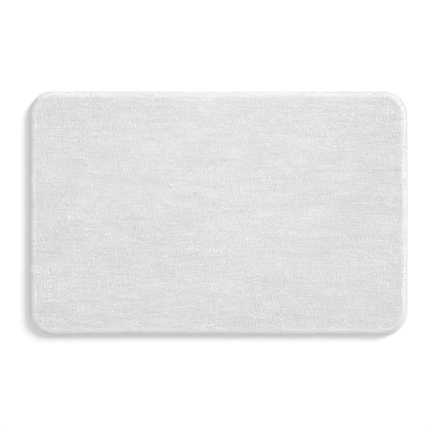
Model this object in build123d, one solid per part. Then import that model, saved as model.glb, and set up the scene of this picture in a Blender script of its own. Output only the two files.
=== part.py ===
from build123d import *
import os

# A tufted bath mat that lies flat, in millimetres. +X runs along its length, +Z is up.
# The origin is the middle of the underside, on the surface that the mat lies on.
# From the bottom up: grip relief, grip sheet, adhesive coat, primary backing, pile.
# A folded tape closes the cut edge all round, and two threads sew it down.

# Overall plan
mat_length = 850.0
mat_width = 550.0
corner_radius = 54.0

# Layers, each by its thickness
grip_relief = 1.3
grip_sheet_thickness = 0.7
adhesive_thickness = 0.8
primary_thickness = 0.6
pile_height = 14.0
pile_edge_round = 6.0

# Edge tape, folded round the cut edges of the layers
tape_thickness = 0.7
tape_top_leg = 9.0
tape_under_leg = 10.0
tape_fold_round = 1.2
layers_to_tape_gap = 0.2
pile_to_tape_gap = 0.3
relief_to_tape_gap = 0.5

# Seam through the tape: one thread lies on the top leg and one under the lower leg
seam_inset = 6.0
thread_width = 0.6
thread_height = 0.3

# Care label, sewn flat under the grip sheet where the relief is left out
label_length = 48.0
label_width = 24.0
label_thickness = 0.4
label_to_tape_gap = 2.0
label_to_relief_gap = 2.0
label_from_end = 150.0

# Label seam: a row of short stitches along each end of the label
stitch_length = 2.4
stitch_pitch = 4.0
stitch_width = 0.4
stitch_height = 0.25
stitch_edge_inset = 2.5

# Heights of the layers
sheet_bottom = grip_relief
adhesive_bottom = sheet_bottom + grip_sheet_thickness
primary_bottom = adhesive_bottom + adhesive_thickness
primary_top = primary_bottom + primary_thickness

# Insets from the mat's outer edge
layers_inset = tape_thickness + layers_to_tape_gap
pile_inset = tape_top_leg + pile_to_tape_gap
relief_inset = tape_under_leg + relief_to_tape_gap

# Place of the label, beside the tape's lower leg on the long side at -Y
label_x = mat_length / 2 - label_from_end
label_near_y = -mat_width / 2 + tape_under_leg + label_to_tape_gap
label_y = label_near_y + label_width / 2


def slab(inset, bottom, height):
    """A flat slab with the mat's rounded outline, set in from the outer edge."""
    outline = RectangleRounded(
        mat_length - 2 * inset,
        mat_width - 2 * inset,
        corner_radius - inset,
    )
    return Pos(0, 0, bottom) * extrude(outline, height)


def block(centre_x, centre_y, bottom, length, width, height):
    """A plain block that stands on the height bottom."""
    return Pos(centre_x, centre_y, bottom + height / 2) * Box(length, width, height)


def top_edges(solid):
    return solid.faces().sort_by(Axis.Z)[-1].edges()


def bottom_edges(solid):
    return solid.faces().sort_by(Axis.Z)[0].edges()


def pile():
    """The tufted face yarn as one soft block with a rounded shoulder."""
    body = slab(pile_inset, primary_top, pile_height)
    return fillet(top_edges(body), pile_edge_round)


def primary_backing():
    """The woven scrim that the tufts are rooted in."""
    return slab(layers_inset, primary_bottom, primary_thickness)


def adhesive_coat():
    """The dried coat that locks the backs of the tufts."""
    return slab(layers_inset, adhesive_bottom, adhesive_thickness)


def grip_backing():
    """The moulded sheet and the relief under it, which leaves a window for the label."""
    sheet = slab(layers_inset, sheet_bottom, grip_sheet_thickness)
    relief = slab(relief_inset, 0, grip_relief)
    window_near_y = -mat_width / 2 + relief_inset
    window_far_y = label_y + label_width / 2 + label_to_relief_gap
    window = block(
        label_x,
        (window_near_y + window_far_y) / 2,
        0,
        label_length + 2 * label_to_relief_gap,
        window_far_y - window_near_y,
        grip_relief,
    )
    return sheet + (relief - window)


def edge_binding():
    """The tape, a U in section with its fold outwards, closed on itself round the mat."""
    bottom = sheet_bottom - tape_thickness
    height = primary_top + tape_thickness - bottom
    tape = slab(0, bottom, height)
    tape = fillet(top_edges(tape) + bottom_edges(tape), tape_fold_round)
    tape -= slab(layers_inset - layers_to_tape_gap, sheet_bottom, primary_top - sheet_bottom)
    tape -= slab(tape_top_leg, primary_top, tape_thickness)
    tape -= slab(tape_under_leg, bottom, tape_thickness)
    return tape


def seam_thread(bottom):
    """One thread of the tape's seam, a closed loop with the mat's outline."""
    outer = slab(seam_inset - thread_width / 2, bottom, thread_height)
    inner = slab(seam_inset + thread_width / 2, bottom, thread_height)
    return outer - inner


def needle_thread():
    """The upper thread, which lies on the tape's top leg."""
    return seam_thread(primary_top + tape_thickness)


def bobbin_thread():
    """The lower thread, which lies against the underside of the tape."""
    return seam_thread(sheet_bottom - tape_thickness - thread_height)


def care_label():
    """A blank label, flat against the underside of the grip sheet."""
    bottom = sheet_bottom - label_thickness
    return block(label_x, label_y, bottom, label_length, label_width, label_thickness)


def label_thread():
    """The stitches that hold the label, one row along each end."""
    bottom = sheet_bottom - label_thickness - stitch_height
    room = label_width - 2 * stitch_edge_inset - stitch_length
    gaps = int(room / stitch_pitch)
    row_x = label_length / 2 - stitch_edge_inset
    stitches = []
    for side in (-1, 1):
        for step in range(gaps + 1):
            centre_y = label_y + (step - gaps / 2) * stitch_pitch
            stitches.append(
                block(
                    label_x + side * row_x,
                    centre_y,
                    bottom,
                    stitch_width,
                    stitch_length,
                    stitch_height,
                )
            )
    return Compound(children=stitches)


nodes = {
    "pile": pile,
    "primary_backing": primary_backing,
    "adhesive_coat": adhesive_coat,
    "grip_backing": grip_backing,
    "edge_binding": edge_binding,
    "needle_thread": needle_thread,
    "bobbin_thread": bobbin_thread,
    "care_label": care_label,
    "label_thread": label_thread,
}

os.makedirs("parts", exist_ok=True)
for name, make in nodes.items():
    solid = make()
    export_step(solid, f"parts/{name}.step")
    print(name, round(solid.volume, 1))
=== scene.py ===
"""Looks of a tufted bath mat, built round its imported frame. All sizes are in metres.

The mat lies flat, its length along X and its width along Y. The origin is the middle of its
underside.
"""

import logging
import math
import random
from dataclasses import dataclass
from enum import Enum
from functools import cache

import bmesh
import bpy
import numpy as np
from mathutils import Matrix, Vector, noise
from mathutils.bvhtree import BVHTree


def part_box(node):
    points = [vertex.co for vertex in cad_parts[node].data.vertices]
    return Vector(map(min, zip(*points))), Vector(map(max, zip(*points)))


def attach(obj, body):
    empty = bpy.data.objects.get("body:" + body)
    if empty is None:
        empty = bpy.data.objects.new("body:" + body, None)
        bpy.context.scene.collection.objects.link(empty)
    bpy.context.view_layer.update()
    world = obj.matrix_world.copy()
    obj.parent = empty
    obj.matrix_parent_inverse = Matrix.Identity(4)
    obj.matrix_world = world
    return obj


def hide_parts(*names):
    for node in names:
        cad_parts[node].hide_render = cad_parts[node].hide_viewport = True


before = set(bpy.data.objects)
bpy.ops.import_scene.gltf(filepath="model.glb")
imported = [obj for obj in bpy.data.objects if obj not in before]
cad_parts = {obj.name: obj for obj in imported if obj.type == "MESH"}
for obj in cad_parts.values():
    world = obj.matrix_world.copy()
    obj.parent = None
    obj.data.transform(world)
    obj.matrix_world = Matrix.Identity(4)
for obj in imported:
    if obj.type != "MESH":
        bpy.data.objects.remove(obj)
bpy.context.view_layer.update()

MM = 0.001
BODY = "root"
TOUCH = 1e-5
WELD = 0.02 * MM
UP = Vector((0.0, 0.0, 1.0))
PILE_GAP = 0.3 * MM
THREAD_RADIUS = 0.3 * MM
RELIEF_INSET = 10.5 * MM
RAMP_START = 0.3
RAMP_END = 0.7
Triple = tuple[float, float, float]
log = logging.getLogger("bath_mat")


# ---------------------------------------------------------------------------------------------
# Shared helpers


class Face(Enum):
    """The two faces of the mat."""

    TOP = 1
    UNDER = -1


@dataclass(frozen=True)
class Waves:
    """Smooth unevenness over the plan; the seed picks one pattern out of many."""

    size_x: float
    size_y: float
    seed: float

    def at(self, x: float, y: float) -> float:
        """The unevenness at a place, about -1 to 1."""
        return 1.6 * noise.noise(Vector((x / self.size_x, y / self.size_y, self.seed)))


def settle(bm: bmesh.types.BMesh, name: str, smooth: bool = True) -> bpy.types.Object:
    """Turns a finished bmesh into an object at the origin.

    Args:
        bm: The mesh, which is freed.
        name: The object's name.
        smooth: Whether its faces are shaded smooth.

    Returns:
        The new object.
    """
    for face in bm.faces:
        face.smooth = smooth
    mesh = bpy.data.meshes.new(name)
    bm.to_mesh(mesh)
    bm.free()
    return stand_up(mesh)


def dress(
    piece: bpy.types.Object,
    material: bpy.types.Material,
    node: str,
) -> bpy.types.Object:
    """Gives a piece its material, its body and the node it stands for.

    Args:
        piece: The piece, in place.
        material: What it is made of.
        node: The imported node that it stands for.

    Returns:
        The same piece.
    """
    piece.data.materials.clear()
    piece.data.materials.append(material)
    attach(piece, BODY)
    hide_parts(node)
    log.info("%s: %d faces, stands for %s", piece.name, len(piece.data.polygons), node)
    return piece


def baked(piece: bpy.types.Object) -> bpy.types.Object:
    """Applies every modifier of a piece to its mesh.

    Args:
        piece: The piece, with its modifiers.

    Returns:
        The same piece.
    """
    graph = bpy.context.evaluated_depsgraph_get()
    done = bpy.data.meshes.new_from_object(piece.evaluated_get(graph))
    old = piece.data
    piece.modifiers.clear()
    piece.data = done
    done.name = piece.name
    bpy.data.meshes.remove(old)
    return piece


def walled(piece: bpy.types.Object, thickness: float, even: bool = False) -> bpy.types.Object:
    """Gives a surface a wall, half of it on each side.

    Args:
        piece: The surface.
        thickness: How thick the wall is.
        even: Whether the wall is as thick in a bend as on the flat.

    Returns:
        The same piece.
    """
    wall = piece.modifiers.new("wall", "SOLIDIFY")
    wall.thickness = thickness
    wall.offset = 0.0
    wall.use_even_offset = even
    return baked(piece)


def flat_grid(columns: int, rows: int, size: Triple, at: Triple) -> bmesh.types.BMesh:
    """A flat rectangle of faces.

    Args:
        columns: How many faces it has along X.
        rows: How many faces it has along Y.
        size: Its length, its width and 1.
        at: Its middle.

    Returns:
        A new bmesh.
    """
    bm = bmesh.new()
    bmesh.ops.create_grid(bm, x_segments=columns, y_segments=rows, size=0.5)
    bmesh.ops.scale(bm, vec=size, verts=bm.verts)
    bmesh.ops.translate(bm, vec=at, verts=bm.verts)
    return bm


def swept(bm: bmesh.types.BMesh, **how: object) -> list[bmesh.types.BMVert]:
    """Spins points and edges as bmesh's own spin does, and returns the points at the end."""
    done = bmesh.ops.spin(bm, use_merge=False, **how)
    return [v for v in done["geom_last"] if isinstance(v, bmesh.types.BMVert)]


def absorb(whole: bmesh.types.BMesh, part: bmesh.types.BMesh) -> None:
    """Adds one bmesh to another.

    Args:
        whole: The one that grows.
        part: The one to add, which is freed.
    """
    mesh = bpy.data.meshes.new("part")
    part.to_mesh(mesh)
    part.free()
    whole.from_mesh(mesh)
    bpy.data.meshes.remove(mesh)


class Swarm:
    """Many copies of one small shape, or of variants of it that differ only in their corners."""

    def __init__(self, variants: list[bmesh.types.BMesh]) -> None:
        """Takes the finished small shapes, which are freed.

        Args:
            variants: The shapes, with the same faces and different corners.
        """
        self.shapes: list[np.ndarray] = []
        for bm in variants:
            for face in bm.faces:
                face.smooth = True
            self.pattern = bpy.data.meshes.new("pattern")
            bm.to_mesh(self.pattern)
            bm.free()
            self.shapes.append(corners_of(self.pattern))

    def laid(self, places: list[Matrix], name: str) -> bpy.types.Mesh:
        """Lays one copy at each place, the variants taken in turn.

        Args:
            places: Where the copies go.
            name: The mesh's name.

        Returns:
            One mesh of all the copies.
        """
        whole = bmesh.new()
        block = self.pattern.copy()
        left = len(places)
        while left:
            if left & 1:
                whole.from_mesh(block)
            left >>= 1
            if left:
                double = bmesh.new()
                double.from_mesh(block)
                double.from_mesh(block)
                double.to_mesh(block)
                double.free()
        mesh = bpy.data.meshes.new(name)
        whole.to_mesh(mesh)
        whole.free()
        bpy.data.meshes.remove(block)
        kinds = np.arange(len(places)) % len(self.shapes)
        shapes = np.array([np.c_[s, np.ones(len(s))] for s in self.shapes])[kinds]
        moved = np.einsum("nij,nvj->nvi", np.array(places)[:, :3, :], shapes)
        mesh.vertices.foreach_set("co", moved.astype(np.float32).ravel())
        mesh.update()
        return mesh


def corners_of(mesh: bpy.types.Mesh) -> np.ndarray:
    """Reads a mesh's vertices.

    Args:
        mesh: The mesh.

    Returns:
        Their places, one row each.
    """
    flat = np.empty(len(mesh.vertices) * 3, np.float32)
    mesh.vertices.foreach_get("co", flat)
    return flat.reshape(-1, 3)


def stand_up(data: bpy.types.ID) -> bpy.types.Object:
    """Turns a finished mesh, a lamp or a camera into an object at the origin.

    Args:
        data: The mesh, lamp or camera.

    Returns:
        A new object of the same name.
    """
    made = bpy.data.objects.new(data.name, data)
    bpy.context.scene.collection.objects.link(made)
    return made


def grey(level: float) -> Triple:
    """A neutral colour of that level."""
    return (level, level, level)


@dataclass(frozen=True)
class Outline:
    """A rounded rectangle about the origin, as every layer of the mat has."""

    length: float
    width: float
    radius: float

    @classmethod
    def of_node(cls, node: str) -> "Outline":
        """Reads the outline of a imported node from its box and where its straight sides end.

        Args:
            node: The node's name.

        Returns:
            Its outline.
        """
        low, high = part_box(node)
        corners = [v.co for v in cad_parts[node].data.vertices]
        straight_end = max(c.x for c in corners if c.y > high.y - TOUCH)
        return cls(high.x - low.x, high.y - low.y, high.x - straight_end)

    def inset(self, by: float) -> "Outline":
        """The same outline, set in all round."""
        return Outline(self.length - 2 * by, self.width - 2 * by, self.radius - by)

    @property
    def straight_x(self) -> float:
        """Length of each side along X between its corners."""
        return self.length - 2 * self.radius

    @property
    def straight_y(self) -> float:
        """Length of each side along Y between its corners."""
        return self.width - 2 * self.radius

    @property
    def corner(self) -> float:
        """Length of one corner's arc."""
        return self.radius * math.pi / 2

    @property
    def perimeter(self) -> float:
        """Length all the way round."""
        return 2 * (self.straight_x + self.straight_y) + 4 * self.corner

    def past(self, x: float, y: float) -> tuple[float, float]:
        """How far a point lies past the end of the straight sides, along X and along Y."""
        return abs(x) - self.straight_x / 2, abs(y) - self.straight_y / 2

    def depth(self, x: float, y: float) -> float:
        """How far inside the outline a point is.

        Args:
            x: Its place along the mat.
            y: Its place across the mat.

        Returns:
            Its distance from the nearest edge, negative outside.
        """
        over_x, over_y = self.past(x, y)
        if over_x > 0 and over_y > 0:
            return self.radius - math.hypot(over_x, over_y)
        return self.radius - max(over_x, over_y)

    def outwards(self, x: float, y: float) -> Vector:
        """The direction from a point to the nearest edge.

        Args:
            x: Its place along the mat.
            y: Its place across the mat.

        Returns:
            The direction, one long.
        """
        over_x, over_y = self.past(x, y)
        if over_x > 0 and over_y > 0:
            return Vector((math.copysign(over_x, x), math.copysign(over_y, y), 0)).normalized()
        if over_x > over_y:
            return Vector((math.copysign(1, x), 0, 0))
        return Vector((0, math.copysign(1, y), 0))

    def runs(self) -> list[tuple[Vector, Vector, float]]:
        """The path round, clockwise seen from above, from the middle of the side at +Y.

        Returns:
            Start, direction and length of each straight side, the first one in two halves.
        """
        half_x, half_y = self.straight_x / 2, self.straight_y / 2
        edge_x, edge_y = self.length / 2, self.width / 2
        return [
            (Vector((0, edge_y, 0)), Vector((1, 0, 0)), half_x),
            (Vector((edge_x, half_y, 0)), Vector((0, -1, 0)), self.straight_y),
            (Vector((half_x, -edge_y, 0)), Vector((-1, 0, 0)), self.straight_x),
            (Vector((-edge_x, -half_y, 0)), Vector((0, 1, 0)), self.straight_y),
            (Vector((-half_x, edge_y, 0)), Vector((1, 0, 0)), half_x),
        ]

    def stretches(
        self,
        start: float,
        end: float,
        longest: float,
    ) -> list[tuple[float, float, bool]]:
        """Cuts a run of the path where it changes from straight to bent, and into short pieces.

        Args:
            start: Where the run starts.
            end: Where it ends.
            longest: How long a piece may be.

        Returns:
            Start and end of each piece, and whether it is bent.
        """
        found = []
        gone = 0.0
        for _, _, length in self.runs():
            for size, bend in ((length, False), (self.corner, True)):
                low, high = max(start, gone), min(end, gone + size)
                pieces = math.ceil((high - low) / longest - TOUCH)
                for piece in range(max(pieces, 0)):
                    share = (high - low) / pieces
                    found.append((low + piece * share, low + (piece + 1) * share, bend))
                gone += size
        return found

    def at(self, along: float) -> tuple[Vector, Vector]:
        """Point and heading at a distance along the path.

        Args:
            along: Distance from the path's start, wrapped round.

        Returns:
            The point, and the direction of travel there.
        """
        left = along % self.perimeter
        for start, heading, length in self.runs():
            if left <= length:
                return start + heading * left, heading
            left -= length
            if left <= self.corner:
                inward = Vector((heading.y, -heading.x, 0))
                centre = start + heading * length + inward * self.radius
                turn = Matrix.Rotation(-left / self.radius, 3, "Z")
                return centre - turn @ (inward * self.radius), turn @ heading
            left -= self.corner
        return self.runs()[0][0], self.runs()[0][1]

    def along(self, x: float, y: float) -> float:
        """Distance along the path of the point of it that lies nearest to a place.

        Args:
            x: The place along the mat.
            y: The place across the mat.

        Returns:
            The distance from the path's start.
        """
        gone = 0.0
        for start, heading, length in self.runs():
            inward = Vector((heading.y, -heading.x, 0))
            offset = Vector((x, y, 0)) - start
            ahead = offset.dot(heading)
            aside = offset.dot(inward)
            if -TOUCH <= ahead <= length + TOUCH and aside < self.radius:
                return gone + ahead
            beyond = ahead - length
            if 0 <= beyond <= self.radius and aside <= self.radius:
                angle = math.atan2(beyond, self.radius - aside)
                if 0 <= angle <= math.pi / 2:
                    return gone + length + angle * self.radius
            gone += length + self.corner
        return 0.0

    def plate(self, low: float, high: float, steps: int = 12) -> bmesh.types.BMesh:
        """A closed flat plate with this outline.

        Args:
            low: Height of its underside.
            high: Height of its top.
            steps: Faces round each corner.

        Returns:
            A new bmesh.
        """
        bm = flat_grid(1, 1, (self.length, self.width, 1), (0, 0, low))
        bmesh.ops.bevel(
            bm,
            geom=bm.verts[:],
            offset=self.radius,
            offset_type="OFFSET",
            segments=steps,
            profile=0.5,
            affect="VERTICES",
            material=-1,
        )
        raised = bmesh.ops.extrude_face_region(bm, geom=bm.faces[:], use_keep_orig=True)
        top = [v for v in raised["geom"] if isinstance(v, bmesh.types.BMVert)]
        bmesh.ops.translate(bm, vec=(0, 0, high - low), verts=top)
        bmesh.ops.recalc_face_normals(bm, faces=bm.faces)
        return bm


@dataclass(frozen=True)
class Lie:
    """How the mat really lies: its right-hand side bows out a little."""

    half_length: float
    half_width: float
    bow: float = 1.6 * MM

    def settle(self, piece: bpy.types.Object) -> bpy.types.Object:
        """Shifts a piece's vertices to where the bowed mat has them.

        Args:
            piece: The piece.

        Returns:
            The same piece.
        """
        mesh = piece.data
        places = corners_of(mesh)
        share_x = np.clip(places[:, 0] / self.half_length, 0, 1)
        share_y = np.clip(places[:, 1] / self.half_width, -1, 1)
        places[:, 0] += self.bow * share_x * (1 - share_y**2)
        mesh.vertices.foreach_set("co", places.ravel())
        mesh.update()
        return piece


# ---------------------------------------------------------------------------------------------
# Finishes


class Dye:
    """A material under construction: its node tree and its main shader."""

    def __init__(self, name: str, roughness: float) -> None:
        """Starts a material.

        Args:
            name: The material's name.
            roughness: The shader's own roughness.
        """
        self.material = bpy.data.materials.new(name)
        self.material.use_nodes = True
        self.tree = self.material.node_tree
        self.shader = self.tree.nodes["Principled BSDF"]
        self.shader.inputs["Roughness"].default_value = roughness

    def add(
        self,
        kind: str,
        look: dict[str, str] | None = None,
        **inputs: object,
    ) -> bpy.types.Node:
        """Adds a node.

        Args:
            kind: The node's type.
            look: Its own settings.
            **inputs: A value, or an output socket to link, for each input. An input goes by
                its number, or by its name with _ for a space.

        Returns:
            The new node.
        """
        made = self.tree.nodes.new(kind)
        for name, value in (look or {}).items():
            setattr(made, name, value)
        for name, value in inputs.items():
            socket = made.inputs[int(name) if name.isdigit() else name.replace("_", " ")]
            if isinstance(value, bpy.types.NodeSocket):
                self.tree.links.new(value, socket)
            else:
                socket.default_value = value
        return made

    def place(self, size: Triple) -> bpy.types.NodeSocket:
        """The piece's own coordinates, in units of a pattern's size.

        Args:
            size: The pattern's size along each axis.

        Returns:
            The coordinates.
        """
        own = self.add("ShaderNodeTexCoord").outputs["Object"]
        scale = tuple(1 / s for s in size)
        return self.add("ShaderNodeMapping", Vector=own, Scale=scale).outputs["Vector"]

    def cloudy(self, at: bpy.types.NodeSocket, detail: float = 2.0) -> bpy.types.NodeSocket:
        """Soft noise with one wave for each unit of a place."""
        made = self.add("ShaderNodeTexNoise", Vector=at, Scale=1.0, Detail=detail)
        return made.outputs["Fac"]

    def between(
        self,
        share: bpy.types.NodeSocket,
        low: Triple,
        high: Triple,
        start: float = RAMP_START,
        end: float = RAMP_END,
    ) -> bpy.types.NodeSocket:
        """A colour that follows a share.

        Args:
            share: The share.
            low: The colour up to start.
            high: The colour from end on.
            start: Where the change starts.
            end: Where it ends.

        Returns:
            The colour.
        """
        ramp = self.add("ShaderNodeValToRGB", Fac=share)
        ramp.color_ramp.elements[0].position = start
        ramp.color_ramp.elements[1].position = end
        ramp.color_ramp.elements[0].color = (*low, 1)
        ramp.color_ramp.elements[1].color = (*high, 1)
        return ramp.outputs["Color"]

    def span(self, share: bpy.types.NodeSocket, low: float, high: float) -> bpy.types.NodeSocket:
        """A number that goes from low to high as share crosses the ramp's range."""
        ends = {"From Min": RAMP_START, "From Max": RAMP_END, "To Min": low, "To Max": high}
        return self.add("ShaderNodeMapRange", Value=share, **ends).outputs["Result"]

    def mix(
        self,
        kind: str,
        share: float,
        one: bpy.types.NodeSocket,
        two: bpy.types.NodeSocket,
    ) -> bpy.types.NodeSocket:
        """Blends two colours the way that kind names."""
        look = {"data_type": "RGBA", "blend_type": kind}
        return self.add("ShaderNodeMix", look, **{"0": share, "6": one, "7": two}).outputs[2]

    def sum(self, one: bpy.types.NodeSocket, two: bpy.types.NodeSocket) -> bpy.types.NodeSocket:
        """Adds two numbers."""
        return self.add("ShaderNodeMath", {"operation": "ADD"}, **{"0": one, "1": two}).outputs[0]

    def ribs(self, at: bpy.types.NodeSocket, axis: str) -> bpy.types.NodeSocket:
        """Even ribs across an axis, one for each unit of a place."""
        look = {"wave_type": "BANDS", "bands_direction": axis}
        return self.add("ShaderNodeTexWave", look, Vector=at, Scale=math.pi / 10).outputs["Fac"]

    def colour(self, socket: bpy.types.NodeSocket) -> None:
        """Links the shader's base colour."""
        self.tree.links.new(socket, self.shader.inputs["Base Color"])

    def rough(self, socket: bpy.types.NodeSocket) -> None:
        """Links the shader's roughness."""
        self.tree.links.new(socket, self.shader.inputs["Roughness"])

    def bump(self, height: bpy.types.NodeSocket, depth: float, strength: float = 1.0) -> None:
        """Raises the surface by depth where height, which goes from 0 to 1, is 1."""
        made = self.add("ShaderNodeBump", Height=height, Distance=depth, Strength=strength)
        self.tree.links.new(made.outputs["Normal"], self.shader.inputs["Normal"])

    def sheen(self, weight: float, roughness: float) -> None:
        """Gives the surface the soft shine of fine fibres."""
        self.shader.inputs["Sheen Weight"].default_value = weight
        self.shader.inputs["Sheen Roughness"].default_value = roughness


@dataclass(frozen=True)
class PileYarn:
    """Brushed white microfibre; long streaks and broad clouds of painted shade and highlight
    stand in for its nap leaning away from and toward the light.
    """

    bright: float = 0.94
    shade: float = 0.83
    mottle: Triple = (12 * MM, 4 * MM, 20 * MM)
    streak: Triple = (70 * MM, 8 * MM, 50 * MM)
    cloud: Triple = (130 * MM, 50 * MM, 90 * MM)
    cloud_share: float = 0.35
    nap_shade_share: float = 0.7

    def material(self) -> bpy.types.Material:
        """Builds the material.

        Returns:
            The material.
        """
        dye = Dye("pile_yarn", 0.9)
        fine = dye.cloudy(dye.place(self.mottle), 3)
        low, high = grey(self.shade), grey(self.bright)
        shades = [dye.between(fine, low, high)]
        # The streaks and clouds are painted shade and highlight, for nap that leans away from and
        # toward the light.
        for size in (self.streak, self.cloud):
            shades.append(dye.between(dye.cloudy(dye.place(size), 2), low, high))
        painted_nap_shade = dye.mix("MIX", self.cloud_share, shades[1], shades[2])
        dye.colour(dye.mix("MIX", self.nap_shade_share, shades[0], painted_nap_shade))
        dye.rough(dye.span(fine, 0.85, 1.0))
        dye.sheen(0.05, 0.5)
        return dye.material


@dataclass(frozen=True)
class WovenTape:
    """A soft white tape with a fine rib across its run and a finer warp along it."""

    bright: float = 0.885
    shade: float = 0.805
    rib: float = 1.3 * MM
    warp: float = 0.8 * MM
    relief: float = 0.25 * MM
    soil: float = 30 * MM
    soil_share: float = 0.35

    def material(self) -> bpy.types.Material:
        """Builds the material, whose pattern follows the tape's own map.

        Returns:
            The material.
        """
        dye = Dye("woven_tape", 0.85)
        own = dye.add("ShaderNodeUVMap", {"uv_map": "run"})
        scale = (1 / self.rib, 1 / self.warp, 1)
        at = dye.add("ShaderNodeMapping", Vector=own.outputs["UV"], Scale=scale)
        weave = at.outputs["Vector"]
        ribs = dye.ribs(weave, "X")
        warps = dye.ribs(weave, "Y")
        height = dye.sum(ribs, warps)
        soil = dye.cloudy(dye.place((self.soil,) * 3), 3)
        low, high = grey(self.shade), grey(self.bright)
        # The colour is darker in the weave's hollows than on its raised threads: painted shade.
        painted_weave_shade = dye.between(height, low, high, 0.2, 1.4)
        clouds = dye.between(soil, low, high)
        dye.colour(dye.mix("MIX", self.soil_share, painted_weave_shade, clouds))
        dye.rough(dye.span(ribs, 0.75, 0.95))
        dye.bump(height, self.relief, 0.8)
        dye.sheen(0.15, 0.5)
        return dye.material


@dataclass(frozen=True)
class Mottled:
    """A finish whose colour, roughness and surface follow one soft noise, or two.

    Its rough holds the plain roughness, then the least and the greatest that the noise gives.
    """

    name: str
    low: Triple
    high: Triple
    wave: Triple
    detail: float
    rough: Triple
    relief: float
    sheen: tuple[float, float] | None = None
    grain: Triple | None = None

    @cache
    def material(self) -> bpy.types.Material:
        """Builds the material, once.

        Returns:
            The material.
        """
        dye = Dye(self.name, self.rough[0])
        clouds = dye.cloudy(dye.place(self.wave), self.detail)
        grain = dye.cloudy(dye.place(self.grain), 2) if self.grain else clouds
        dye.colour(dye.between(clouds, self.low, self.high))
        dye.rough(dye.span(grain, *self.rough[1:]))
        dye.bump(grain, self.relief)
        if self.sheen:
            dye.sheen(*self.sheen)
        return dye.material


SEWING_THREAD = Mottled(
    name="sewing_thread",
    low=grey(0.76),
    high=grey(0.86),
    wave=(0.5 * MM,) * 3,
    detail=1,
    rough=(0.6, 0.5, 0.7),
    relief=0.05 * MM,
    sheen=(0.1, 0.4),
)
GRIP_RUBBER = Mottled(
    name="grip_rubber",
    low=(0.69, 0.69, 0.67),
    high=(0.76, 0.76, 0.745),
    wave=(45 * MM, 30 * MM, 30 * MM),
    detail=4,
    rough=(0.6, 0.5, 0.75),
    relief=0.04 * MM,
    grain=(0.6 * MM,) * 3,
)
DRIED_LATEX = Mottled(
    name="dried_latex",
    low=(0.70, 0.67, 0.58),
    high=(0.80, 0.78, 0.70),
    wave=(12 * MM,) * 3,
    detail=4,
    rough=(0.5, 0.35, 0.6),
    relief=0.2 * MM,
)
LABEL_SATIN = Mottled(
    name="label_satin",
    low=grey(0.83),
    high=grey(0.90),
    wave=(1.2 * MM, 0.22 * MM, 0.22 * MM),
    detail=1,
    rough=(0.4, 0.32, 0.5),
    relief=0.03 * MM,
    sheen=(0.2, 0.3),
)


@dataclass(frozen=True)
class WovenScrim:
    """Slit-film scrim, woven one over one."""

    light: Triple = (0.80, 0.79, 0.76)
    gap: Triple = (0.58, 0.57, 0.54)
    slit: float = 1.6 * MM
    relief: float = 0.15 * MM

    def material(self) -> bpy.types.Material:
        """Builds the material.

        Returns:
            The material.
        """
        dye = Dye("woven_scrim", 0.55)
        weave = dye.place((self.slit,) * 3)
        height = dye.sum(dye.ribs(weave, "X"), dye.ribs(weave, "Y"))
        # The colour is darker where the weave lies low, in the gaps between the slit tapes:
        # painted shade.
        dye.colour(dye.between(height, self.gap, self.light, 0.3, 1.0))
        dye.rough(dye.span(height, 0.5, 0.65))
        dye.bump(height, self.relief, 0.7)
        return dye.material


@dataclass(frozen=True)
class StudioFloor:
    """A plain pale floor, a little darker far from the mat: a painted pool of light round the
    mat, so that a white mat stands out.
    """

    near: float = 0.94
    far: float = 0.80
    reach: float = 2.6
    cloud: float = 0.8
    stain: float = 0.004
    gloss: float = 0.1

    def material(self) -> bpy.types.Material:
        """Builds the material.

        Returns:
            The material.
        """
        dye = Dye("studio_floor", 0.9)
        clouds = dye.cloudy(dye.place((self.cloud,) * 3), 1)
        pale = dye.between(clouds, grey(self.near - self.stain), grey(self.near + self.stain))
        place = dye.place((self.reach,) * 3)
        away = dye.add("ShaderNodeVectorMath", {"operation": "LENGTH"}, Vector=place)
        # Painted pool of light: the floor's colour darkens with distance from the mat.
        fade = dye.between(away.outputs["Value"], grey(1), grey(self.far), RAMP_START, 1.0)
        dye.colour(dye.mix("MULTIPLY", 1.0, pale, fade))
        dye.shader.inputs["Specular IOR Level"].default_value = self.gloss
        return dye.material


# ---------------------------------------------------------------------------------------------
# Sub-assemblies


@dataclass(frozen=True)
class Tuft:
    """One cut tuft: a bunch of short strands that spread from a narrow foot."""

    strands: int = 5
    foot_spread: float = 1.18 * MM
    tip_spread: float = 1.90 * MM
    strand_foot: float = 1.13 * MM
    strand_tip: float = 1.17 * MM
    sides: int = 4
    uneven: float = 0.018
    skew: float = 0.2
    twist: float = 0.3
    spread_range: tuple[float, float] = (0.8, 1.15)
    thick_range: tuple[float, float] = (0.82, 1.14)
    core_spread: float = 0.2

    def shape(self, draw: random.Random) -> bmesh.types.BMesh:
        """Builds one tuft, a metre tall, to be scaled to its reach.

        Args:
            draw: Where its random numbers come from.

        Returns:
            A new bmesh.
        """
        bm = bmesh.new()
        for strand in range(self.strands):
            ring = 0.0 if strand == 0 else 1.0
            skewed = strand + draw.uniform(-self.skew, self.skew)
            angle = math.tau * skewed / max(self.strands - 1, 1)
            foot = Vector((math.cos(angle), math.sin(angle), 0)) * self.foot_spread * ring
            angle += draw.uniform(-self.twist, self.twist)
            reach = ring * draw.uniform(*self.spread_range) or self.core_spread
            spread = self.tip_spread * reach
            tip = Vector((math.cos(angle), math.sin(angle), 0)) * spread
            height = 1.0 + draw.uniform(-self.uneven, self.uneven)
            lean = Matrix.Identity(4)
            lean[0][2] = (tip.x - foot.x) / height
            lean[1][2] = (tip.y - foot.y) / height
            stand = Matrix.Translation((0, 0, height / 2))
            turn = Matrix.Rotation(draw.uniform(0, math.tau), 4, "Z")
            thick = draw.uniform(*self.thick_range)
            bmesh.ops.create_cone(
                bm,
                cap_ends=True,
                cap_tris=False,
                segments=self.sides,
                radius1=self.strand_foot * thick,
                radius2=self.strand_tip * thick,
                depth=height,
                matrix=Matrix.Translation(foot) @ lean @ stand @ turn,
            )
        return bm


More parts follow.
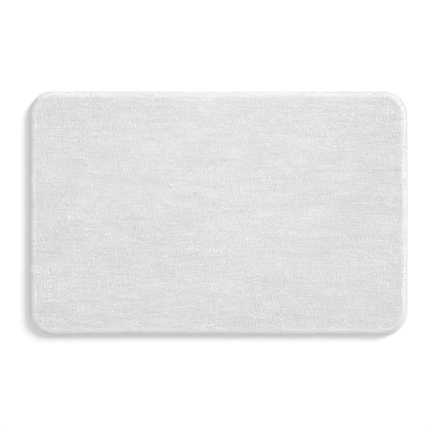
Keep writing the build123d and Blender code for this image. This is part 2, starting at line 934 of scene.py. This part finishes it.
@dataclass
class Pile:
    """The face of the mat: a dense body of yarn, and the rows of tufts that stand out of it."""

    outline: Outline
    low: float
    high: float
    lie: Lie
    gauge: float = 3.9 * MM
    pitch: float = 5.0 * MM
    stray: float = 0.22
    variants: int = 16
    patches_x: int = 4
    patches_y: int = 3
    body_share: float = 0.84
    body_inset: float = 1.6 * MM
    body_cell: float = 5.0 * MM
    body_relief: float = 0.35 * MM
    shoulder: float = 5.0 * MM
    bury: float = 2.0 * MM
    rows_depth: tuple[float, ...] = (0.7 * MM, 2.2 * MM, 3.9 * MM, 5.6 * MM, 7.3 * MM)
    rows_drop: tuple[float, ...] = (3.4 * MM, 1.5 * MM, 0.7 * MM, 0.3 * MM, 0.1 * MM)
    rows_lean: tuple[float, ...] = (0.28, 0.23, 0.19, 0.15, 0.10)
    brushed: tuple[float, float] = (-0.14, -0.14)
    rows_pitch: float = 3.4 * MM
    rows_stray_mm: float = 0.2
    rows_foot: float = 0.1 * MM
    field_start: float = 0.6
    field_slack: float = 0.4
    nap: tuple[float, float] = (0.06, -0.12)
    nap_stray: float = 0.03
    streak_lean: float = 0.14
    clump: float = 0.55 * MM
    tussock: float = 0.44 * MM
    ragged: float = 0.08 * MM
    grow: tuple[float, float] = (0.94, 1.08)
    swell: Waves = Waves(16 * MM, 9 * MM, 3.0)
    streaks: Waves = Waves(34 * MM, 6 * MM, 11.0)
    clumps: Waves = Waves(24 * MM, 6 * MM, 23.0)
    tussocks: Waves = Waves(9 * MM, 6 * MM, 29.0)
    locks: Waves = Waves(30 * MM, 30 * MM, 31.0)
    lock_share: float = 0.25
    wisps: Waves = Waves(9 * MM, 9 * MM, 37.0)
    wisp_share: float = 0.22
    map_slant: tuple[float, float] = (0.31, 0.17)
    seed: int = 592
    tuft: Tuft = Tuft()

    def body(self) -> bpy.types.Object:
        """The dense lower part of the yarn, a padded form with a rounded shoulder.

        Returns:
            The body as a piece.
        """
        top = self.low + self.body_share * (self.high - self.low)
        bm = self.outline.inset(self.body_inset).plate(self.low, top)
        rim = [e for e in bm.edges if all(abs(v.co.z - top) < TOUCH for v in e.verts)]
        bmesh.ops.bevel(
            bm,
            geom=rim,
            offset=self.shoulder,
            offset_type="OFFSET",
            segments=4,
            profile=0.5,
            affect="EDGES",
            material=-1,
        )
        piece = settle(bm, "pile_body")
        remesh = piece.modifiers.new("even_faces", "REMESH")
        remesh.mode = "VOXEL"
        remesh.voxel_size = self.body_cell
        remesh.use_smooth_shade = True
        baked(piece)
        middle = (self.low + top) / 2
        for vertex in piece.data.vertices:
            if vertex.co.z > middle:
                vertex.co.z += self.body_relief * self.swell.at(vertex.co.x, vertex.co.y)
        return self.lie.settle(piece)

    def field_places(self, surface: BVHTree, draw: random.Random) -> list[Matrix]:
        """The tufts of the field: rows along the mat, a little uneven.

        Args:
            surface: The yarn body, to stand them in.
            draw: Where the random numbers come from.

        Returns:
            A place for each tuft.
        """
        start = self.rows_depth[-1] + self.field_start * self.gauge
        reach = self.outline.width - 2 * start
        rows = round(reach / self.gauge)
        columns = int(self.outline.length / self.pitch)
        found = []
        for row in range(rows + 1):
            offset = draw.uniform(-0.5, 0.5)
            for column in range(columns + 1):
                x = (column + offset - columns / 2) * self.pitch
                x += draw.uniform(-self.stray, self.stray) * self.pitch
                y = (row / rows - 0.5) * reach
                y += draw.uniform(-0.5, 0.5) * self.stray * self.gauge
                if self.outline.depth(x, y) < start - self.field_slack * self.gauge:
                    continue
                foot = surface.ray_cast(Vector((x, y, 1.0)), -UP)[0].z - self.bury
                across = self.nap[1] + self.streak_lean * self.streaks.at(x, y)
                lean = Vector((self.nap[0], across, 0))
                lean.x += draw.uniform(-1, 1) * self.nap_stray
                lean.y += draw.uniform(-1, 1) * self.nap_stray
                tip = self.high + self.clump * self.clumps.at(x, y)
                tip += self.tussock * self.tussocks.at(x, y)
                tip += draw.uniform(-1, 1) * self.ragged
                found.append(self.stand(x, y, foot, tip, lean, draw))
        return found

    def edge_places(self, draw: random.Random) -> list[Matrix]:
        """The outermost rows of tufts, which lean out and the way the nap is brushed.

        Args:
            draw: Where the random numbers come from.

        Returns:
            A place for each tuft.
        """
        found = []
        rows = zip(self.rows_depth, self.rows_drop, self.rows_lean)
        for depth, drop, lean in rows:
            path = self.outline.inset(depth)
            count = round(path.perimeter / self.rows_pitch)
            for number in range(count):
                along = (number + draw.uniform(-0.3, 0.3)) * path.perimeter / count
                point, heading = path.at(along)
                out = Vector((-heading.y, heading.x, 0))
                stray = draw.uniform(-self.rows_stray_mm, self.rows_stray_mm)
                point = point + out * stray * MM
                loose = 1 + self.lock_share * self.locks.at(point.x, point.y)
                loose += self.wisp_share * self.wisps.at(point.x, point.y)
                tip = self.high - drop + draw.uniform(-1, 1) * 2 * self.ragged
                aside = heading * draw.uniform(-0.5, 0.5) * self.nap_stray
                foot = self.low + self.rows_foot
                brushed = Vector((*self.brushed, 0)) * lean / self.rows_lean[0]
                slant = out * lean * loose + aside + brushed
                found.append(self.stand(point.x, point.y, foot, tip, slant, draw))
        return found

    def stand(
        self,
        x: float,
        y: float,
        foot: float,
        tip: float,
        lean: Vector,
        draw: random.Random,
    ) -> Matrix:
        """How one tuft stands.

        Args:
            x: Its place along the mat.
            y: Its place across the mat.
            foot: Height of its foot.
            tip: Height of its tips.
            lean: How far it goes sideways for each metre that it rises.
            draw: Where its random numbers come from.

        Returns:
            The matrix that puts a tuft there.
        """
        grow = draw.uniform(*self.grow)
        turn = Matrix.Rotation(draw.uniform(0, math.tau), 4, "Z")
        shear = Matrix.Identity(4)
        shear[0][2] = lean.x
        shear[1][2] = lean.y
        size = Matrix.Diagonal((grow, grow, tip - foot, 1))
        return Matrix.Translation((x, y, foot)) @ shear @ turn @ size

    def patch_of(self, place: Matrix) -> int:
        """Which patch of the mat a tuft belongs to.

        Args:
            place: Where the tuft stands.

        Returns:
            The patch's number, from 0.
        """
        column = int((place[0][3] / self.outline.length + 0.5) * self.patches_x)
        row = int((place[1][3] / self.outline.width + 0.5) * self.patches_y)
        column = min(max(column, 0), self.patches_x - 1)
        row = min(max(row, 0), self.patches_y - 1)
        return row * self.patches_x + column

    def tufts(self, body: bpy.types.Object) -> list[bpy.types.Object]:
        """Plants the tufts in the yarn body, one object for each patch of the mat.

        Args:
            body: The yarn body that they stand in.

        Returns:
            The patches.
        """
        draw = random.Random(self.seed)
        swarm = Swarm([self.tuft.shape(draw) for _ in range(self.variants)])
        surface = BVHTree.FromObject(body, bpy.context.evaluated_depsgraph_get())
        patches: list[list[Matrix]] = [[] for _ in range(self.patches_x * self.patches_y)]
        for place in self.field_places(surface, draw) + self.edge_places(draw):
            patches[self.patch_of(place)].append(place)
        pieces = []
        for number, places in enumerate(patches, 1):
            piece = stand_up(swarm.laid(places, f"pile_tufts_{number:02d}"))
            self.map_from_above(piece)
            pieces.append(self.lie.settle(piece))
        return pieces

    def map_from_above(self, piece: bpy.types.Object) -> None:
        """Gives a patch of tufts a map seen from above and a little aslant.

        Args:
            piece: The patch, before it is bowed.
        """
        mesh = piece.data
        places = corners_of(mesh)
        plan = places[:, :2] + np.outer(places[:, 2] - self.low, self.map_slant)
        low = plan.min(0)
        plan = (plan - low) / (plan.max(0) - low).max()
        index = np.empty(len(mesh.loops), np.int32)
        mesh.loops.foreach_get("vertex_index", index)
        layer = mesh.uv_layers.new(name="OFBake")
        layer.uv.foreach_set("vector", plan[index].astype(np.float32).ravel())

    def build(self) -> None:
        """Builds and dresses the pile."""
        material = PileYarn().material()
        body = dress(self.body(), material, "pile")
        for patch in self.tufts(body):
            dress(patch, material, "pile")


@dataclass
class EdgeTape:
    """The tape that is folded round the mat's cut edge, and the seam that holds it."""

    outline: Outline
    top: float
    under: float
    top_leg: float
    seam_inset: float
    lie: Lie
    under_leg: float = 10.0 * MM
    thickness: float = 0.7 * MM
    step: float = 2.0 * MM
    leg_steps: int = 7
    fold_steps: int = 8
    stretch: float = 120.0 * MM
    stitch_pitch: float = 4.0 * MM
    stitch_share: float = 0.86
    stitch_dive: float = 0.34 * MM
    groove: float = 0.22 * MM
    groove_width: float = 0.9 * MM
    sunk: float = 0.8
    pucker: float = 0.09 * MM
    pucker_from: float = 1.5 * MM
    roll: float = 0.6 * MM
    ease: float = 0.30 * MM
    ease_wave: float = 22 * MM
    ease_seed: float = 41.0
    fold_ease: float = 0.6
    lap_start: float = 0.215
    lap_length: float = 14.0 * MM

    @property
    def fold_radius(self) -> float:
        """Radius of the fold, at the middle of the tape's thickness."""
        return (self.top - self.under - self.thickness) / 2

    def section(self, bm: bmesh.types.BMesh, start: Vector, inward: Vector, grow: float) -> None:
        """Draws the tape's folded section: top leg, fold, lower leg.

        Args:
            bm: An empty bmesh.
            start: The point of the mat's outline where the section stands.
            inward: The direction into the mat there.
            grow: How far the section lies outside the plain tape.
        """
        radius = self.fold_radius + grow
        fold_at = self.thickness / 2 + self.fold_radius
        middle = (self.top + self.under) / 2
        heading = inward.cross(UP)
        first = start + inward * self.top_leg + UP * (middle + radius)
        across = bm.verts.layers.float.new("across")
        bm.verts.new(first)
        end = bm.verts[:]
        legs = (
            (-inward * (self.top_leg - fold_at) / self.leg_steps, 0.0, self.leg_steps),
            (Vector(), math.pi, self.fold_steps),
            (inward * (self.under_leg - fold_at) / self.leg_steps, 0.0, self.leg_steps),
        )
        centre = start + inward * fold_at + UP * middle
        for shift, angle, steps in legs:
            end = swept(
                bm, geom=end, cent=centre, axis=heading, dvec=shift, angle=angle, steps=steps
            )
        bm.verts.ensure_lookup_table()
        gone = 0.0
        last = bm.verts[0]
        seen = {last}
        while True:
            last[across] = gone
            ahead = [e.other_vert(last) for e in last.link_edges]
            ahead = [v for v in ahead if v not in seen]
            if not ahead:
                return
            gone += (ahead[0].co - last.co).length
            last = ahead[0]
            seen.add(last)

    def sweep(self, from_along: float, to_along: float, grow: float) -> bmesh.types.BMesh:
        """Runs the section along the mat's edge, a short stretch at a time.

        Args:
            from_along: Where on the outline's path the run starts.
            to_along: Where it ends.
            grow: How far the section lies outside the plain tape.

        Returns:
            A new bmesh of the surface.
        """
        whole = bmesh.new()
        for begin, end, bend in self.outline.stretches(from_along, to_along, self.stretch):
            start, heading = self.outline.at(begin)
            inward = Vector((heading.y, -heading.x, 0))
            steps = max(round((end - begin) / self.step), 1)
            bm = bmesh.new()
            self.section(bm, start, inward, grow)
            swept(
                bm,
                geom=bm.verts[:] + bm.edges[:],
                cent=start + inward * self.outline.radius,
                axis=UP,
                dvec=Vector() if bend else heading * (end - begin) / steps,
                angle=-(end - begin) / self.outline.radius if bend else 0.0,
                steps=steps,
            )
            absorb(whole, bm)
        bmesh.ops.remove_doubles(whole, verts=whole.verts, dist=WELD)
        return whole

    def slacken(self, bm: bmesh.types.BMesh) -> None:
        """Gives the swept tape its rolled edge, seam groove, puckers and uneven edges.

        Args:
            bm: The tape's surface.
        """
        middle = (self.top + self.under) / 2
        for vertex in bm.verts:
            place = vertex.co
            depth = self.outline.depth(place.x, place.y)
            side = 1 if place.z > middle else -1
            out = self.outline.outwards(place.x, place.y)
            along = self.outline.along(place.x, place.y)
            near = math.exp(-(((depth - self.seam_inset) / self.groove_width) ** 2))
            phase = math.cos(math.tau * along / self.stitch_pitch)
            lift = -self.groove * near
            lift += self.pucker * phase * (1 - near) * (depth > self.pucker_from)
            if side > 0:
                lift += self.roll * math.sin(math.pi * min(max(depth / self.seam_inset, 0), 1))
            vertex.co.z += side * lift
            leg = min(depth / self.top_leg, 1.0)
            waves = Waves(self.ease_wave, self.ease_wave, self.ease_seed + side)
            loose = waves.at(place.x, place.y)
            vertex.co += out * self.ease * (loose * leg + self.fold_ease * loose * (1 - leg))

    def map_run(self, bm: bmesh.types.BMesh) -> None:
        """Maps the tape so that its pattern follows its run.

        Args:
            bm: The tape's surface.
        """
        across = bm.verts.layers.float["across"]
        run = bm.loops.layers.uv.new("run")
        whole = self.outline.perimeter
        places = {v: self.outline.along(v.co.x, v.co.y) for v in bm.verts}
        for face in bm.faces:
            first = places[face.loops[0].vert]
            for loop in face.loops:
                along = places[loop.vert]
                along -= whole * round((along - first) / whole)
                loop[run].uv = (along, loop.vert[across])

    def folded(self, start: float, end: float, grow: float, name: str) -> bpy.types.Object:
        """Folds a length of tape round the mat's edge.

        Args:
            start: Where on the outline's path it starts.
            end: Where it ends.
            grow: How far it lies outside the plain tape.
            name: The piece's name.

        Returns:
            The tape as a piece.
        """
        bm = self.sweep(start, end, grow)
        self.map_run(bm)
        self.slacken(bm)
        bmesh.ops.recalc_face_normals(bm, faces=bm.faces)
        return self.lie.settle(walled(settle(bm, name), self.thickness, even=True))

    def stitches(self, face: Face, name: str) -> bpy.types.Object:
        """One row of lockstitches along the tape.

        Args:
            face: Which face of the mat they show on.
            name: The piece's name.

        Returns:
            The stitches as one piece.
        """
        path = self.outline.inset(self.seam_inset)
        count = round(path.perimeter / self.stitch_pitch)
        height = self.top if face is Face.TOP else self.under
        height -= face.value * self.groove * self.sunk
        places = []
        for number in range(count):
            point, heading = path.at((number + 0.5) * path.perimeter / count)
            up = UP * face.value
            turn = Matrix((heading, up.cross(heading), up)).transposed().to_4x4()
            places.append(Matrix.Translation(point + UP * height) @ turn)
        length = self.stitch_share * self.stitch_pitch
        swarm = Swarm([stitch(length, THREAD_RADIUS, self.stitch_dive)])
        return self.lie.settle(stand_up(swarm.laid(places, name)))

    def build(self) -> None:
        """Builds and dresses the tape and its seam."""
        woven = WovenTape().material()
        run = self.outline.perimeter
        tape = dress(self.folded(0.0, run, 0.0, "edge_tape"), woven, "edge_binding")
        lap_end = self.lap_start + self.lap_length
        lap = self.folded(self.lap_start, lap_end, 0.5 * self.thickness, "edge_tape_lap")
        dress(lap, woven, "edge_binding")
        thread = SEWING_THREAD.material()
        over = self.stitches(Face.TOP, "needle_stitches")
        dress(over, thread, "needle_thread")
        below = self.stitches(Face.UNDER, "bobbin_stitches")
        dress(below, thread, "bobbin_thread")


def stitch(length: float, radius: float, dive: float) -> bmesh.types.BMesh:
    """One stitch along X, arched so that both ends dive into the cloth.

    Args:
        length: From end to end.
        radius: The thread's radius.
        dive: How far its ends lie below its middle.

    Returns:
        A new bmesh.
    """
    bm = bmesh.new()
    bmesh.ops.create_cone(
        bm,
        cap_ends=True,
        segments=6,
        radius1=radius,
        radius2=radius,
        depth=length,
        matrix=Matrix.Rotation(math.pi / 2, 4, "Y"),
    )
    sides = [e for e in bm.edges if abs(e.verts[0].co.x - e.verts[1].co.x) > length / 2]
    bmesh.ops.subdivide_edges(bm, edges=sides, cuts=3, use_grid_fill=False)
    for vertex in bm.verts:
        share = abs(2 * vertex.co.x / length)
        taper = 1 - 0.35 * share**3
        vertex.co.y *= taper
        vertex.co.z = vertex.co.z * taper - dive * share**2
    bmesh.ops.recalc_face_normals(bm, faces=bm.faces)
    return bm


@dataclass
class Backing:
    """What lies under the pile: scrim, dried adhesive and the moulded grip sheet."""

    outline: Outline
    relief: Outline
    sheet_low: float
    sheet_high: float
    scrim_low: float
    scrim_high: float
    label: "CareLabel"
    lie: Lie
    layer_inset: float = 0.8 * MM
    stud_pitch: float = 12.0 * MM
    stud_radius: float = 3.6 * MM
    stud_gap: float = 1.5 * MM
    rib_width: float = 1.6 * MM
    rib_share: float = 0.75
    rib_steps: int = 8
    sink: float = 0.15 * MM

    def scrim(self) -> bpy.types.Object:
        """The woven primary backing.

        Returns:
            The cloth as a piece.
        """
        layer = self.outline.inset(self.layer_inset)
        bm = layer.plate(self.scrim_low, self.scrim_high)
        return self.lie.settle(settle(bm, "scrim_cloth", smooth=False))

    def stud(self) -> bmesh.types.BMesh:
        """One moulded stud, a low dome that hangs from the height 0.

        Returns:
            A new bmesh.
        """
        bm = bmesh.new()
        bmesh.ops.create_uvsphere(bm, u_segments=10, v_segments=6, radius=self.stud_radius)
        bmesh.ops.bisect_plane(
            bm,
            geom=bm.verts[:] + bm.edges[:] + bm.faces[:],
            dist=TOUCH,
            plane_co=(0, 0, 0),
            plane_no=UP,
            clear_outer=True,
        )
        rim = [e for e in bm.edges if e.is_boundary]
        bmesh.ops.contextual_create(bm, geom=rim)
        height = (self.sheet_low + self.sink) / self.stud_radius
        bmesh.ops.scale(bm, vec=(1, 1, height), verts=bm.verts)
        bmesh.ops.recalc_face_normals(bm, faces=bm.faces)
        return bm

    def stud_places(self) -> list[Matrix]:
        """Where the studs are: staggered rows, clear of the rim and the label.

        Returns:
            A place for each stud.
        """
        field_edge = self.relief.inset(self.rib_width + self.stud_gap)
        window = self.label.window()
        row_gap = self.stud_pitch * math.sqrt(3) / 2
        rows = int(self.relief.width / row_gap) + 1
        columns = int(self.relief.length / self.stud_pitch) + 1
        found = []
        for row in range(rows):
            y = (row - (rows - 1) / 2) * row_gap
            for column in range(columns + 1):
                x = (column - columns / 2 + 0.5 * (row % 2)) * self.stud_pitch
                clear = window.depth(x - self.label.x, y - self.label.y) < -self.stud_radius
                if clear and field_edge.depth(x, y) > self.stud_radius:
                    found.append(Matrix.Translation((x, y, self.sheet_low + self.sink)))
        return found

    def rib(self, outline: Outline, shift: Vector, open_half: float) -> bmesh.types.BMesh:
        """A low moulded rib that follows an outline, open at the label's outer side.

        Args:
            outline: The rib's outer edge.
            shift: Where the outline's centre is.
            open_half: Half the width of its opening.

        Returns:
            A new bmesh.
        """
        low = self.sheet_low * (1 - self.rib_share)
        bm = outline.plate(low, self.sheet_low + self.sink, self.rib_steps)
        flat = [f for f in bm.faces if abs(f.normal.z) > 0.9]
        bmesh.ops.inset_region(bm, faces=flat, thickness=self.rib_width, use_even_offset=True)
        rims = list({e for f in flat for e in f.edges})
        bmesh.ops.delete(bm, geom=flat, context="FACES_ONLY")
        bmesh.ops.bridge_loops(bm, edges=[e for e in rims if e.is_valid and e.is_boundary])
        bmesh.ops.translate(bm, vec=shift, verts=bm.verts)
        for side in (-1, 1):
            bmesh.ops.bisect_plane(
                bm,
                geom=bm.verts[:] + bm.edges[:] + bm.faces[:],
                dist=TOUCH,
                plane_co=(self.label.x + side * open_half, 0, 0),
                plane_no=(1, 0, 0),
            )
        for face in bm.faces[:]:
            middle = face.calc_center_median()
            if abs(middle.x - self.label.x) < open_half and middle.y < self.label.y:
                bm.faces.remove(face)
        bmesh.ops.delete(bm, geom=[e for e in bm.edges if e.is_wire], context="EDGES")
        bmesh.ops.holes_fill(bm, edges=[e for e in bm.edges if e.is_boundary], sides=12)
        bmesh.ops.recalc_face_normals(bm, faces=bm.faces)
        return bm

    def grip(self) -> bpy.types.Object:
        """The moulded sheet with its studs and ribs, and the plain window for the label.

        Returns:
            The sheet as a piece.
        """
        layer = self.outline.inset(self.layer_inset)
        bm = layer.plate(self.sheet_low, self.sheet_high)
        studs = Swarm([self.stud()]).laid(self.stud_places(), "studs")
        bm.from_mesh(studs)
        bpy.data.meshes.remove(studs)
        window = self.label.window()
        middle = Vector((self.label.x, self.label.y, 0))
        inner = window.length / 2 - self.rib_width
        for outline, shift, half in (
            (self.relief, Vector(), inner + self.rib_width / 2),
            (window, middle, inner),
        ):
            absorb(bm, self.rib(outline, shift, half))
        return self.lie.settle(settle(bm, "grip_sheet"))

    def build(self) -> None:
        """Builds and dresses the layers under the pile."""
        scrim = dress(self.scrim(), WovenScrim().material(), "primary_backing")
        dress(self.grip(), GRIP_RUBBER.material(), "grip_backing")
        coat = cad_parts["adhesive_coat"]
        coat.data.materials.clear()
        coat.data.materials.append(DRIED_LATEX.material())
        log.info("adhesive_coat: the packed node, in dried latex")


@dataclass
class CareLabel:
    """A blank woven label, sewn flat under the grip sheet."""

    x: float
    y: float
    length: float
    width: float
    high: float
    low: float
    lie: Lie
    margin: float = 2.0 * MM
    corner: float = 2.5 * MM
    curl: float = 0.12 * MM
    ripples: Waves = Waves(14 * MM, 9 * MM, 7.0)
    turn_in: float = 5.0 * MM
    hem_gap: float = 0.6 * MM
    ply: float = 0.18 * MM
    stitch_pitch: float = 2.6 * MM
    stitch_share: float = 0.85
    stitch_radius: float = 0.17 * MM
    stitch_dive: float = 0.22 * MM
    stitch_sunk: float = 0.12 * MM
    seam_inset: float = 2.5 * MM

    def window(self) -> Outline:
        """The plain window round the label, about the label's middle."""
        grow = 2 * self.margin
        return Outline(self.length + grow, self.width + grow, self.corner)

    def ribbon(self) -> bpy.types.Object:
        """The label itself, its two ends turned in and pressed.

        Returns:
            The ribbon as a piece.
        """
        middle = (self.high + self.low) / 2
        bm = flat_grid(32, 16, (self.length, self.width, 1), (self.x, self.y, middle))
        for vertex in bm.verts:
            ahead = (vertex.co.x - self.x) / (self.length / 2)
            aside = (vertex.co.y - self.y) / (self.width / 2)
            wave = self.ripples.at(vertex.co.x, vertex.co.y)
            free = (1 - ahead**4) * 0.6 + 0.4 * aside**2
            vertex.co.z -= self.curl * free * (0.5 + 0.5 * wave)
        bmesh.ops.recalc_face_normals(bm, faces=bm.faces)
        return self.lie.settle(walled(settle(bm, "label_ribbon"), self.ply))

    def hem(self, side: int) -> bpy.types.Object:
        """One turned-in end of the label.

        Args:
            side: 1 for the end at +X, -1 for the other.

        Returns:
            The hem as a piece.
        """
        low = self.low - 0.6 * self.ply
        x = self.x + side * (self.length - self.turn_in) / 2
        size = (self.turn_in, self.width - self.hem_gap, 1)
        bm = flat_grid(6, 12, size, (x, self.y, low + self.ply))
        piece = settle(bm, f"label_hem_{'right' if side > 0 else 'left'}")
        return self.lie.settle(walled(piece, self.ply))

    def stitches(self) -> bpy.types.Object:
        """The two rows of stitches that hold the label.

        Returns:
            The stitches as one piece.
        """
        count = int((self.width - 2 * self.seam_inset) / self.stitch_pitch)
        turn = Matrix.Rotation(math.pi / 2, 4, "Z") @ Matrix.Rotation(math.pi, 4, "X")
        places = []
        for side in (-1, 1):
            x = self.x + side * (self.length / 2 - self.seam_inset)
            for number in range(count):
                y = self.y + (number - (count - 1) / 2) * self.stitch_pitch
                places.append(Matrix.Translation((x, y, self.low - self.stitch_sunk)) @ turn)
        length = self.stitch_share * self.stitch_pitch
        swarm = Swarm([stitch(length, self.stitch_radius, self.stitch_dive)])
        return self.lie.settle(stand_up(swarm.laid(places, "label_stitches")))

    def build(self) -> None:
        """Builds and dresses the label."""
        satin = LABEL_SATIN.material()
        ribbon = dress(self.ribbon(), satin, "care_label")
        hems = [dress(self.hem(s), satin, "care_label") for s in (-1, 1)]
        dress(self.stitches(), SEWING_THREAD.material(), "label_thread")


@dataclass
class Studio:
    """A pale floor, soft light from the upper right, and a camera straight above."""

    view_width: float = 0.966
    aim: tuple[float, float] = (-8.3 * MM, -5.1 * MM)
    distance: float = 5.0
    sensor: float = 36.0
    floor_radius: float = 9.0
    cove: float = 2.6
    sky: float = 0.56
    key: float = 2.62
    key_from: Triple = (1.3, 1.05, 1.0)
    key_angle: float = 28.0
    rim: float = 1.6
    rim_from: Triple = (-1.0, -1.0, 0.28)
    rim_angle: float = 40.0
    fill: float = 0.85
    fill_at: Triple = (0.05, 0.22, 0.85)
    fill_size: float = 0.3

    def floor(self) -> None:
        """Lays the floor, which curves up into a low wall all round."""
        bm = bmesh.new()
        flat = self.floor_radius - self.cove
        end = [bm.verts.new((0, 0, 0))]
        parts = (
            (Vector((flat / 4, 0, 0)), Vector(), 0.0, 4),
            (Vector(), Vector((flat, 0, self.cove)), -math.pi / 2, 16),
        )
        for shift, centre, angle, steps in parts:
            end = swept(
                bm, geom=end, cent=centre, axis=(0, 1, 0), dvec=shift, angle=angle, steps=steps
            )
        bmesh.ops.spin(
            bm,
            geom=bm.verts[:] + bm.edges[:],
            cent=(0, 0, 0),
            axis=UP,
            dvec=(0, 0, 0),
            angle=math.tau,
            steps=96,
            use_merge=True,
        )
        bmesh.ops.remove_doubles(bm, verts=bm.verts, dist=TOUCH)
        bmesh.ops.recalc_face_normals(bm, faces=bm.faces)
        if bm.faces[0].normal.z < 0:
            bmesh.ops.reverse_faces(bm, faces=bm.faces)
        floor = settle(bm, "studio_floor")
        floor.data.materials.append(StudioFloor().material())

    def lights(self) -> None:
        """Sets the even light of the room, the key, the low rim light and the fill."""
        world = bpy.data.worlds.new("studio_world")
        world.use_nodes = True
        backdrop = world.node_tree.nodes["Background"]
        backdrop.inputs["Color"].default_value = (1, 1, 1, 1)
        backdrop.inputs["Strength"].default_value = self.sky
        bpy.context.scene.world = world
        suns = (
            ("key", self.key, self.key_from, self.key_angle),
            ("rim", self.rim, self.rim_from, self.rim_angle),
        )
        for name, energy, towards, angle in suns:
            lamp = bpy.data.lights.new(name, "SUN")
            lamp.energy = energy
            lamp.angle = math.radians(angle)
            sun = stand_up(lamp)
            sun.rotation_mode = "QUATERNION"
            sun.rotation_quaternion = Vector(towards).to_track_quat("Z", "Y")
        panel = bpy.data.lights.new("fill", "AREA")
        panel.shape = "DISK"
        panel.size = self.fill_size
        panel.energy = self.fill
        fill = stand_up(panel)
        fill.location = self.fill_at
        fill.visible_camera = False

    def camera(self) -> None:
        """Places the camera above the mat."""
        data = bpy.data.cameras.new("camera")
        data.sensor_width = self.sensor
        data.lens = self.sensor * self.distance / self.view_width
        data.clip_end = 10 * self.distance
        camera = stand_up(data)
        camera.location = (*self.aim, self.distance)
        bpy.context.scene.camera = camera

    def build(self) -> None:
        """Sets up the studio."""
        self.floor()
        self.lights()
        self.camera()
        bpy.context.scene.view_settings.view_transform = "Standard"
        log.info("studio: floor, sky, three lamps and camera")


def main() -> None:
    """Builds the whole mat, from the edge inwards, and then the studio."""
    logging.basicConfig(level=logging.INFO, format="%(name)s: %(message)s")
    mat = Outline.of_node("edge_binding")
    lie = Lie(mat.length / 2, mat.width / 2)
    tape_low, tape_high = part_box("edge_binding")
    pile_low, pile_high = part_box("pile")
    scrim_low, scrim_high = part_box("primary_backing")
    label_low, label_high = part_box("care_label")
    seam = Outline.of_node("needle_thread")
    layers = Outline.of_node("primary_backing")
    pile_face = Outline(
        pile_high.x - pile_low.x,
        pile_high.y - pile_low.y,
        mat.radius - (tape_high.x - pile_high.x),
    )
    label = CareLabel(
        x=(label_low.x + label_high.x) / 2,
        y=(label_low.y + label_high.y) / 2,
        length=label_high.x - label_low.x,
        width=label_high.y - label_low.y,
        high=label_high.z,
        low=label_low.z,
        lie=lie,
    )
    EdgeTape(
        outline=mat,
        top=tape_high.z,
        under=tape_low.z,
        top_leg=tape_high.x - pile_high.x - PILE_GAP,
        seam_inset=(mat.length - seam.length) / 2 + THREAD_RADIUS,
        lie=lie,
    ).build()
    Backing(
        outline=layers,
        relief=mat.inset(RELIEF_INSET),
        sheet_low=label_high.z,
        sheet_high=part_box("adhesive_coat")[0].z,
        scrim_low=scrim_low.z,
        scrim_high=scrim_high.z,
        label=label,
        lie=lie,
    ).build()
    label.build()
    Pile(outline=pile_face, low=pile_low.z, high=pile_high.z, lie=lie).build()
    Studio().build()


if __name__ == "__main__":
    main()
